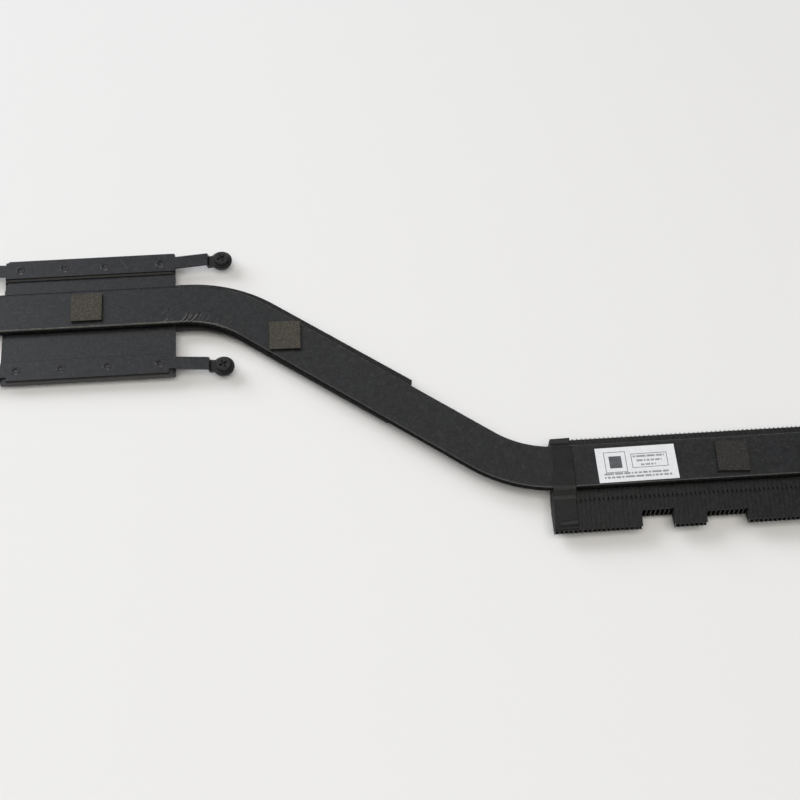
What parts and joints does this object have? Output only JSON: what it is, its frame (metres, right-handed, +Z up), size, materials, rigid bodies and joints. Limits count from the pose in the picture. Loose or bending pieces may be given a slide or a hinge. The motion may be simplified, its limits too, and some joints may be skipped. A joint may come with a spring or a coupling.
{
  "type": "laptop heatsink",
  "caption": "Flat laptop cooling module: sprung cold plate with captive screws, a flattened heat pipe with an S bend and a zipper fin stack.",
  "frame": {"origin": "centre of the contact face, the underside of the copper block that meets the processor", "axes": "+X along the pipe's first run, from the cold plate towards the fin stack; +Y to the rear, away from the fins' air outlet; +Z up, from the contact face towards the pipe"},
  "size_m": [0.2141, 0.0851, 0.0074],
  "materials": {
    "black_plate": "satin black paint",
    "bare_copper": "bare copper, milled flat",
    "black_spring_steel": "satin black over spring steel",
    "black_screw_steel": "black plated steel",
    "painted_copper_pipe": "satin black paint over copper",
    "black_fin_sheet": "matt black coat on thin stamped sheet",
    "black_tape": "matt cloth-backed tape",
    "white_label": "satin paper label",
    "grey_foam": "matt open foam, dark grey"
  },
  "bodies": {
    "root": {"base_plate": "black_plate", "contact_block": "bare_copper", "leaf_spring_rear": "black_spring_steel", "leaf_spring_front": "black_spring_steel", "rivets_rear": "black_spring_steel", "rivets_front": "black_spring_steel", "screw_rear_left": "black_screw_steel", "screw_rear_right": "black_screw_steel", "screw_front_left": "black_screw_steel", "screw_front_right": "black_screw_steel", "ring_rear_left": "black_screw_steel", "ring_rear_right": "black_screw_steel", "ring_front_left": "black_screw_steel", "ring_front_right": "black_screw_steel", "heat_pipe": "painted_copper_pipe", "pipe_stiffener": "black_spring_steel", "fins_block_left": "black_fin_sheet", "fins_notch_left": "black_fin_sheet", "fins_block_middle": "black_fin_sheet", "fins_notch_right": "black_fin_sheet", "fins_block_right": "black_fin_sheet", "sealing_tape": "black_tape", "label": "white_label", "foam_pad_left": "grey_foam", "foam_pad_middle": "grey_foam", "foam_pad_right": "grey_foam"}
  },
  "joints": []
}
